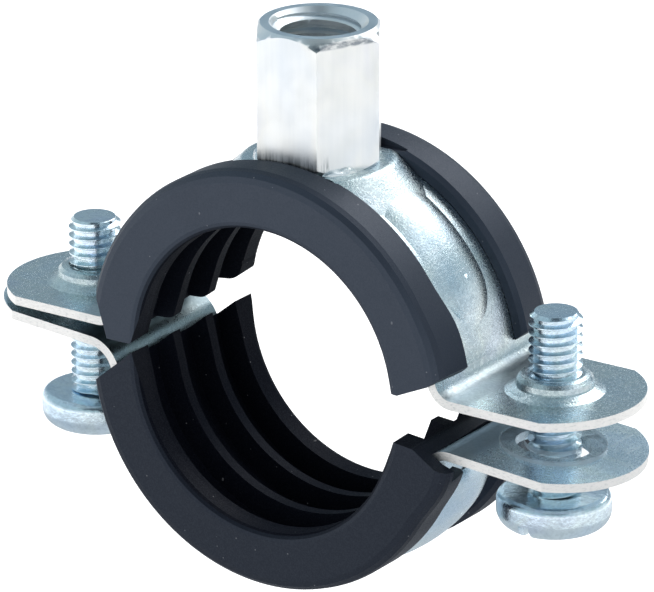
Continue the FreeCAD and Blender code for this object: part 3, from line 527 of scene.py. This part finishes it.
def lining_rubber(name, seat, shine, outside):
    """Extruded rubber: matt, faint grain and a little dust; painted shade in the bore, which is darker
    and has hardly any shine, and a painted sheen that is stronger on faces turned to the front.

    seat is the x and z of the middle of the liner's seat, outside the colour out of the bore.
    """
    material, sheet, shader, place = new_material(name, Metallic=0.0,
                                                  Specular_Tint=(0.66, 0.79, 1.0, 1))
    grain = sheet.noise(place, 1 / (0.16 * MM), detail=3.0, roughness=0.6)
    patches = sheet.noise(place, 1 / (6 * MM), detail=3.0)
    dust = sheet.use(DUST, Place=place, Spacing=0.85 * MM, Share=0.08)["Mask"]
    lint = sheet.use(DUST, Place=sheet.stretch(place, (1, 0.4, 0.7)), Spacing=1.3 * MM, Share=0.06)
    specks = sheet.math("MAXIMUM", dust, lint["Mask"])
    across = sheet.axes(sheet.add("NewGeometry").outputs["Normal"])[1]
    bore_shade = bore_shade_mask(sheet, place, seat, across)

    base = sheet.blend(sheet.band(patches, 0.35, 0.68, 0.0, 0.3), outside, (0.006, 0.007, 0.012))
    # painted shade: the bore is darker than the outside
    base = sheet.blend(bore_shade, base, (0.003, 0.004, 0.008))
    grained = sheet.blend(sheet.band(grain, 0.4, 0.72, 0.0, 0.5), base, (0.016, 0.018, 0.025))
    dusty = sheet.blend(sheet.math("MULTIPLY", specks, 0.35), grained, (0.40, 0.41, 0.43))
    sheet.feed(shader["Base Color"], dusty)
    # painted sheen: more shine on faces turned to the front, and hardly any in the shaded bore
    level = sheet.band(across, -0.9, -0.3, shine, shine * 0.62)
    level = sheet.math("MULTIPLY", level, sheet.band(bore_shade, 0.0, 1.0, 1.0, 0.12))
    sheet.feed(shader["Specular IOR Level"], level)
    sheet.feed(shader["Roughness"], sheet.band(grain, 0.3, 0.7, 0.60, 0.46))
    height = sheet.math("ADD", sheet.math("MULTIPLY", grain, 0.4), sheet.math("MULTIPLY", specks, 0.6))
    sheet.feed(shader["Normal"], sheet.bump(height, 0.03 * MM))
    return material


def washer_plastic():
    """Thin see-through washers, faintly blue, with flow marks from the mould."""
    material, sheet, shader, place = new_material("washer_plastic", Metallic=0.0, IOR=1.48)
    flow = sheet.noise(place, 1 / (1.5 * MM), detail=2.0)
    rise = sheet.math("ABSOLUTE", sheet.axes(sheet.add("NewGeometry").outputs["Normal"])[2])
    sheet.feed(shader["Base Color"], sheet.blend(flow, (0.55, 0.70, 0.80), (0.66, 0.78, 0.86)))
    sheet.feed(shader["Alpha"], sheet.band(rise, 0.3, 0.97, 0.55, 0.20))
    sheet.feed(shader["Roughness"], sheet.band(flow, 0.3, 0.7, 0.12, 0.22))
    sheet.feed(shader["Normal"], sheet.bump(flow, 0.02 * MM))
    return material


# ---------------------------------------------------------------- threads and screws

def helix(name, radius, valley, pitch, turns, steps, bottom):
    """An open thread surface about Z: one pitch of outline, swept round and up."""
    bpy.ops.mesh.primitive_plane_add(size=pitch, location=(valley, 0, bottom + pitch / 2),
                                     rotation=(math.pi / 2, 0, 0))
    piece = named(name)
    settle(piece)
    edit(piece)
    choose(piece, "verts", lambda item, at: at.x > valley)
    bpy.ops.mesh.delete(type="VERT")
    bpy.ops.mesh.select_all(action="SELECT")
    bpy.ops.transform.translate(value=(pitch / 2, 0, 0))
    bpy.ops.mesh.subdivide(number_cuts=7)
    step = pitch / 8
    crest = radius - valley
    for low, high, share in ((2.5, 3.5, 0.42), (3.5, 5.5, 1.0), (5.5, 6.5, 0.42)):
        bpy.ops.mesh.select_all(action="DESELECT")
        choose(piece, "verts", lambda item, at: low * step < at.z - bottom < high * step)
        bpy.ops.transform.translate(value=(crest * share, 0, 0))
    done()
    finish_with(piece, "SCREW", angle=2 * math.pi, screw_offset=pitch, iterations=turns, steps=steps,
                render_steps=steps, use_smooth_shade=True)
    tidy_mesh(piece)
    return piece


def trim(piece, level, upper):
    """Cuts the piece at a level and closes the cut; upper says that the part above it goes."""
    edit(piece)
    bpy.ops.mesh.select_all(action="SELECT")
    bpy.ops.mesh.bisect(plane_co=(0, 0, level), plane_no=(0, 0, 1), use_fill=True,
                        threshold=0.0005 * MM, clear_outer=upper, clear_inner=not upper)
    done()


def threaded_rod():
    """The screw's shank, with its thread cut off by a pointed envelope."""
    turns = math.ceil(SCREW_LENGTH / THREAD_PITCH) + 3
    rod = helix("shank", THREAD_RADIUS, THREAD_ROOT, THREAD_PITCH, turns, 56, -2 * THREAD_PITCH)
    trim(rod, -0.6 * MM, upper=False)
    trim(rod, SCREW_LENGTH - 0.02 * MM, upper=True)
    tidy_mesh(rod)
    bpy.ops.mesh.primitive_cylinder_add(vertices=72, radius=THREAD_RADIUS + 0.4 * MM,
                                        depth=SCREW_LENGTH + 2 * MM,
                                        location=(0, 0, SCREW_LENGTH / 2 - MM))
    envelope = named("envelope")
    settle(envelope)
    edit(envelope, "EDGE")
    choose(envelope, "edges", lambda item, at: at.z > SCREW_LENGTH - 0.01 * MM)
    bpy.ops.mesh.bevel(offset=POINT_BEVEL, segments=1)
    done()
    combine(rod, envelope, "INTERSECT")
    return rod


def screw_head():
    """The forged head: flat bearing face, bevelled rim and a domed driven end."""
    bpy.ops.mesh.primitive_cylinder_add(vertices=96, radius=HEAD_RADIUS, depth=HEAD_HEIGHT,
                                        location=(0, 0, -HEAD_HEIGHT / 2))
    head = named("head")
    settle(head)
    edit(head, "EDGE")
    choose(head, "edges", lambda item, at: at.z < -HEAD_HEIGHT + 0.01 * MM)
    bpy.ops.mesh.bevel(offset=DRIVEN_END_ROUND, segments=9, profile=0.5)
    choose(head, "edges", lambda item, at: at.z > -0.01 * MM)
    bpy.ops.mesh.bevel(offset=BEARING_RIM_ROUND, segments=6, profile=0.5)
    done()
    return head


def driver_cutter():
    """The slot and the cross of the driver recess, tapered to their floors."""
    parts = []
    for length, width, depth, turn in (SLOT, *CROSS):
        bpy.ops.mesh.primitive_cube_add(size=1, location=(0, 0, -HEAD_HEIGHT - 0.5 * MM))
        bar = named("bar")
        bar.scale = (length, width, 2 * (depth + 0.5 * MM))
        bar.rotation_euler.z = math.radians(turn)
        settle(bar)
        edit(bar, "FACE")
        choose(bar, "faces", lambda item, at: item.normal.z > 0.9)
        bpy.ops.transform.resize(value=(0.86 if length < SLOT[0] else 1.0, 0.86, 1))
        done()
        parts.append(bar)
    for bar in parts[1:]:
        combine(parts[0], bar, "UNION")
    return parts[0]


def clamp_screws(material):
    """One screw, modelled at the origin and copied to the places of the frame's two."""
    screw = screw_head()
    combine(screw, driver_cutter(), "DIFFERENCE")
    combine(screw, threaded_rod(), "UNION")
    tidy_mesh(screw)
    dress(screw, material, angle=32)
    for side, turn in (("left", 20), ("right", 90)):
        low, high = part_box(side + "_screw")
        piece = screw.copy()
        piece.data = screw.data.copy()
        piece.name = piece.data.name = side + "_threaded_screw"
        bpy.context.scene.collection.objects.link(piece)
        middle = (low + high) / 2
        place = Matrix.Translation((middle.x, middle.y, low.z + HEAD_HEIGHT))
        piece.data.transform(place @ Matrix.Rotation(math.radians(turn), 4, "Z"))
        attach(piece, side + "_screw")
        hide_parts(side + "_screw")
    bpy.data.objects.remove(screw)


# ---------------------------------------------------------------- nut, weld and lining

def copy_of(node, name, merged=False):
    """A copy of a frame node, free to be shaped; unmerged it keeps the node's own normals."""
    piece = nodes[node].copy()
    piece.data = nodes[node].data.copy()
    piece.name = piece.data.name = name
    bpy.context.scene.collection.objects.link(piece)
    if merged:
        edit(piece)
        bpy.ops.mesh.select_all(action="SELECT")
        bpy.ops.mesh.remove_doubles(threshold=0.001 * MM)
        done()
    return piece


def flatten(piece):
    """Joins level facets into whole faces."""
    edit(piece)
    bpy.ops.mesh.select_all(action="SELECT")
    bpy.ops.mesh.dissolve_limited(angle_limit=math.radians(0.3))
    done()


def tapping_rod(radius, valley, pitch, bottom, top):
    """A threaded plug that leaves its thread in what it is cut from."""
    turns = math.ceil((top - bottom) / pitch) + 2
    rod = helix("tap", radius, valley, pitch, turns, 64, bottom - pitch)
    trim(rod, bottom, upper=False)
    trim(rod, top, upper=True)
    tidy_mesh(rod)
    return rod


def plug(radius, bottom, top):
    """A plain cylinder about the nut's axis."""
    bpy.ops.mesh.primitive_cylinder_add(vertices=96, radius=radius, depth=top - bottom,
                                        location=(0, 0, (top + bottom) / 2))
    piece = named("plug")
    settle(piece)
    return piece


def threaded_nut(material):
    """The long nut with a wide thread above and a smaller one below it."""
    low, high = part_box("connecting_nut")
    wide_foot = high.z - WIDE_DEPTH
    nut = copy_of("connecting_nut", "threaded_nut", merged=True)
    combine(nut, plug(WIDE_PLUG_RADIUS, wide_foot, high.z - 0.15 * MM), "UNION")
    combine(nut, plug(NARROW_PLUG_RADIUS, low.z + 0.3 * MM, wide_foot - 1.0 * MM), "UNION")
    wide = tapping_rod(*WIDE_THREAD, wide_foot - 0.1 * MM, high.z + MM)
    narrow = tapping_rod(*NARROW_THREAD, low.z - MM, wide_foot + 0.2 * MM)
    bpy.ops.mesh.primitive_cone_add(vertices=96, radius1=MOUTH_FOOT, radius2=MOUTH_RIM,
                                    depth=MOUTH_DEPTH, location=(0, 0, high.z - MOUTH_MIDDLE))
    mouth = named("mouth")
    settle(mouth)
    for cutter in (wide, narrow, mouth):
        combine(nut, cutter, "DIFFERENCE")
    flatten(nut)
    dress(nut, material, angle=28)
    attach(nut, "upper_half")
    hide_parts("connecting_nut")


def weld_beads(material):
    """Lumps of weld along the nut's foot, one on every other flat."""
    low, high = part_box("connecting_nut")
    reach = (high.x - low.x) / 2 * math.cos(math.radians(30))
    wander = bpy.data.textures.new("weld_wander", "CLOUDS")
    wander.noise_scale = 1.4 * MM
    wander.noise_depth = 1
    for name, bearing, slide, half_length in WELDS:
        bpy.ops.mesh.primitive_uv_sphere_add(segments=48, ring_count=24, radius=1)
        bead = named(name)
        bead.scale = (WELD_THICKNESS, half_length, WELD_RISE)
        settle(bead)
        finish_with(bead, "DISPLACE", texture=wander, strength=0.55 * MM, mid_level=0.5,
                    texture_coords="LOCAL")
        bead.location = (reach, slide, 0)
        settle(bead)
        bead.rotation_euler.z = math.radians(bearing)
        bead.location.z = low.z + 0.02 * MM
        settle(bead)
        trim(bead, low.z - 0.35 * MM, upper=False)
        dress(bead, material, angle=60)
        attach(bead, "upper_half")


def bend_corner(piece, test, push, reach):
    """Pulls the chosen corner of a liner outwards; the rubber around it follows smoothly."""
    edit(piece)
    choose(piece, "verts", test)
    bpy.ops.transform.translate(value=push, use_proportional_edit=True,
                                use_proportional_connected=False, proportional_size=reach,
                                proportional_edit_falloff="SMOOTH")
    done()


def lip_corner(item, at):
    """The low right end of the upper liner's front lip."""
    return at.x > 20.6 * MM and -9.0 * MM < at.y < -5.5 * MM and at.z < 8.0 * MM


def wall_corner(item, at):
    """The high right end of the lower liner's front wall."""
    return at.x > 21.4 * MM and at.y < -8.6 * MM and at.z > -7.2 * MM


def on_collar(at):
    """True on the drawn collar and its foot, round either screw."""
    return 3.6 * MM < math.hypot(abs(at.x) - SCREW_OFFSET, at.y) < 6.6 * MM


def shape_collars(strap):
    """Draws each collar's crown in, so that its wall slopes and flows into the ear."""
    for side in (-1, 1):
        edit(strap)
        choose(strap, "verts", lambda item, at: at.x * side > 0 and on_collar(at)
               and at.z > EAR_TOP + COLLAR_CROWN)
        bpy.ops.transform.resize(value=(0.88, 0.88, 1), center_override=(side * SCREW_OFFSET, 0, 0))
        done()


def upper_strip(material):
    """The upper strap with sloping collars."""
    strap = copy_of("upper_strap", "upper_band")
    give_finish(strap, material)
    shape_collars(strap)
    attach(strap, "upper_half")
    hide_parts("upper_strap")


def lining(node, name, body, material, corner, push, reach):
    """A rubber liner, with one corner that stands off the strap."""
    liner = copy_of(node, name)
    give_finish(liner, material)
    bend_corner(liner, corner, push, reach)
    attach(liner, body)
    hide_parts(node)


# ---------------------------------------------------------------- room

def floor_paint():
    """Matt white floor: plain white to the camera; in reflections a painted shadow near the clamp and a
    painted glow that grows away from it.
    """
    material, sheet, shader, place = new_material("floor_paint", Roughness=0.9,
                                                  Specular_IOR_Level=0.1)
    shader["Emission Color"].default_value = (1, 1, 1, 1)
    rays = sheet.add("LightPath").outputs
    x, y, _ = sheet.axes(place)
    spread = sheet.math("SQRT", sheet.math("ADD", sheet.math("POWER", x, 2.0),
                                           sheet.math("POWER", y, 2.0)))
    # painted shadow: in reflections the floor is darker near the clamp
    near = sheet.math("MULTIPLY", rays["Is Glossy Ray"], sheet.band(spread, 0.19, 0.36, 1.0, 0.0))
    sheet.feed(shader["Base Color"], sheet.blend(near, (0.85, 0.85, 0.85), (0.55, 0.58, 0.61)))
    # painted glow: in reflections the floor shines, more the farther it is from the clamp
    reflected_glow = sheet.math("MULTIPLY", sheet.band(spread, 0.19, 0.37, 0.02, 0.62),
                           sheet.band(x, 0.05, 0.30, 1.0, 0.62))
    reflected_glow = sheet.math("MULTIPLY", rays["Is Glossy Ray"], reflected_glow)
    seen = sheet.math("MAXIMUM", rays["Is Camera Ray"], rays["Is Transmission Ray"])
    sheet.feed(shader["Emission Strength"], sheet.math("MAXIMUM", reflected_glow,
                                                       sheet.math("MULTIPLY", seen, 0.6)))
    return material


def surroundings(sheet):
    """What polished metal sees around the clamp: panels of light and shade in soft steps."""
    view = sheet.add("TexCoord").outputs["Generated"]
    height = sheet.axes(view)[2]
    tone = sheet.blend(sheet.band(height, 0.02, 0.45), (0.92, 0.97, 1.0), (0.42, 0.54, 0.60))
    for toward, inner, outer, colour in PANELS:
        facing = sheet.add("VectorMath", {"operation": "DOT_PRODUCT"})
        sheet.feed(facing.inputs[0], view)
        sheet.feed(facing.inputs[1], Vector(toward).normalized())
        share = sheet.band(facing.outputs["Value"], math.cos(math.radians(outer)),
                           math.cos(math.radians(inner)))
        tone = sheet.blend(share, tone, colour)
    return tone


def lamp(name, place, size, watts):
    """A softbox that faces the clamp; the panels stand for it in reflections."""
    data = bpy.data.lights.new(name, "AREA")
    data.shape = "RECTANGLE"
    data.size, data.size_y = size
    data.energy = watts
    obj = bpy.data.objects.new(name, data)
    bpy.context.scene.collection.objects.link(obj)
    obj.location = place
    obj.rotation_euler = Vector(place).to_track_quat("Z", "Y").to_euler()
    obj.visible_glossy = False


def studio():
    """White floor, white surroundings to the camera and three softboxes."""
    bpy.ops.mesh.primitive_plane_add(size=8, location=(0, 0, FLOOR_LEVEL))
    floor = named("floor")
    floor.data.materials.append(floor_paint())

    world = bpy.data.worlds.new("studio")
    bpy.context.scene.world = world
    world.use_nodes = True
    tree = world.node_tree
    sheet = Sheet(tree)
    rays = sheet.add("LightPath").outputs
    plain = sheet.math("MAXIMUM", rays["Is Camera Ray"], rays["Is Transmission Ray"])
    ambient = tree.nodes["Background"]
    ambient.inputs["Color"].default_value = (0.93, 0.96, 1.0, 1)
    ambient.inputs["Strength"].default_value = 0.5
    white = sheet.add("Background", Color=(1, 1, 1), Strength=1.0).outputs[0]
    mirrored = sheet.add("Background", Strength=1.0)
    sheet.feed(mirrored.inputs["Color"], surroundings(sheet))
    seen = sheet.add("MixShader", Fac=rays["Is Glossy Ray"])
    tree.links.new(ambient.outputs[0], seen.inputs[1])
    tree.links.new(mirrored.outputs[0], seen.inputs[2])
    choice = sheet.add("MixShader", Fac=plain)
    tree.links.new(seen.outputs[0], choice.inputs[1])
    tree.links.new(white, choice.inputs[2])
    tree.links.new(choice.outputs[0], tree.nodes["World Output"].inputs["Surface"])

    lamp("top_back_softbox", (0.12, 0.45, 0.62), (0.5, 0.4), 3.0)
    lamp("left_softbox", (-0.85, -0.35, 0.55), (0.5, 0.5), 2.5)
    lamp("right_softbox", (0.8, -0.3, 0.5), (0.4, 0.4), 2.0)


def set_camera():
    """The camera, low on the right of the clamp, with a long lens."""
    azimuth, elevation, roll = math.radians(34.671), math.radians(20.743), math.radians(-0.228)
    distance = 0.68768
    back = Vector((math.sin(azimuth) * math.cos(elevation),
                   -math.cos(azimuth) * math.cos(elevation), math.sin(elevation)))
    right = Vector((math.cos(azimuth), math.sin(azimuth), 0))
    up = back.cross(right)
    turned_right = right * math.cos(roll) + up * math.sin(roll)
    turned_up = back.cross(turned_right)
    data = bpy.data.cameras.new("camera")
    data.sensor_width = 36
    data.lens = 349.4
    data.shift_x, data.shift_y = 0.0105, 0.0771
    camera = bpy.data.objects.new("camera", data)
    bpy.context.scene.collection.objects.link(camera)
    axes = Matrix((turned_right, turned_up, back)).transposed()
    camera.matrix_world = Matrix.Translation(back * distance) @ axes.to_4x4()
    bpy.context.scene.camera = camera


# ---------------------------------------------------------------- the scene

set_camera()
studio()
bpy.context.scene.view_settings.view_transform = "Standard"

upper_zinc = zinc_strip("upper_strip_zinc", 0.24 * MM, 0.035 * MM, 0.23, (0.74, 0.84, 0.87))
lower_zinc = zinc_strip("lower_strip_zinc", 0.22 * MM, 0.006 * MM, 0.26, (0.76, 0.88, 0.94), 0.15,
                        shelter=0.75)
weld_zinc = zinc_strip("weld_zinc", 0.6 * MM, 0.01 * MM, 0.28, (0.92, 0.95, 0.97), 0.15)
plastic = washer_plastic()
liner_low, liner_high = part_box("lower_liner")
lower_seat = ((liner_low.x + liner_high.x) / 2, liner_low.z + LIP_RADIUS)
# one rubber in a lit and a shaded copy: the lower liner's is painted darker and duller, as painted
# shade that grows towards the bottom
lit_upper_rubber = lining_rubber("lit_upper_rubber", (0, 0), 1.0, (0.014, 0.017, 0.026))
shaded_lower_rubber = lining_rubber("shaded_lower_rubber", lower_seat, 0.52, (0.006, 0.007, 0.013))

threaded_nut(zinc_nut())
weld_beads(weld_zinc)
upper_strip(upper_zinc)
give_finish(nodes["lower_strap"], lower_zinc)
lining("upper_liner", "upper_lining", "upper_half", lit_upper_rubber, lip_corner,
       (0.7 * MM, 0.25 * MM, 0.15 * MM), 6.0 * MM)
lining("lower_liner", "lower_lining", "lower_half", shaded_lower_rubber, wall_corner,
       (1.15 * MM, 0, -0.25 * MM), 7.0 * MM)
for node in ("left_washer", "right_washer"):
    give_finish(nodes[node], plastic)
clamp_screws(zinc_screw())
